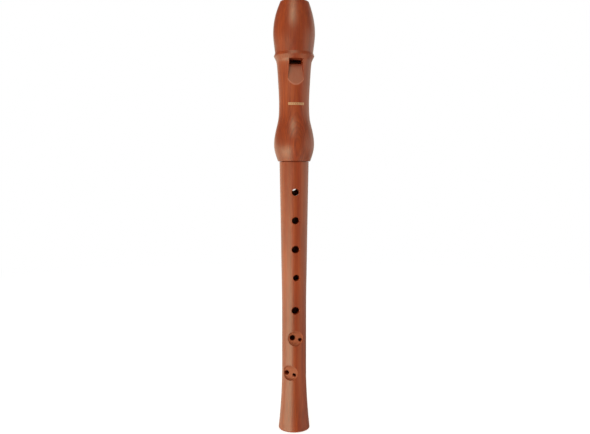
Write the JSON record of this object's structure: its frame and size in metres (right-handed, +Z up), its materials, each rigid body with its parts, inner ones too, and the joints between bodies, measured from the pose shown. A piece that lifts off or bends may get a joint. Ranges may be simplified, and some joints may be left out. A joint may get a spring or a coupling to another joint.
{
  "type": "soprano recorder",
  "caption": "Wooden soprano recorder: a head with beak, window and fipple block slides over the corked tenon of a tapering body with finger holes and a flared bell.",
  "frame": {"origin": "on the bore's axis, in the plane of the bell end", "axes": "+Z up the bore towards the beak, -Y out of the window and the finger holes, +X to the right of someone facing the finger holes"},
  "size_m": [0.032, 0.0314, 0.33],
  "materials": {
    "pearwood": "reddish-brown stained pearwood with a satin wax and oil finish",
    "cedar": "bare red cedar, planed, without varnish",
    "cork": "fine-grained natural cork, lightly greased",
    "gilt": "thin pale-gold foil pressed into the wood"
  },
  "bodies": {
    "body": {"body": "pearwood"},
    "cork": {"tenon_cork": "cork"},
    "head": {"head": "pearwood"},
    "block": {"block": "cedar"}
  },
  "joints": [
    {"name": "head_twist", "type": "hinge", "parent": "body", "child": "cork", "pos_m": [0, 0, 0.2195], "axis": [0, 0, 1], "continuous": true},
    {"name": "head_pull", "type": "slide", "parent": "cork", "child": "head", "axis": [0, 0, 1], "range_m": [0, 0.03]},
    {"name": "block_push_out", "type": "slide", "parent": "head", "child": "block", "axis": [0, 0, 1], "range_m": [0, 0.056]}
  ]
}
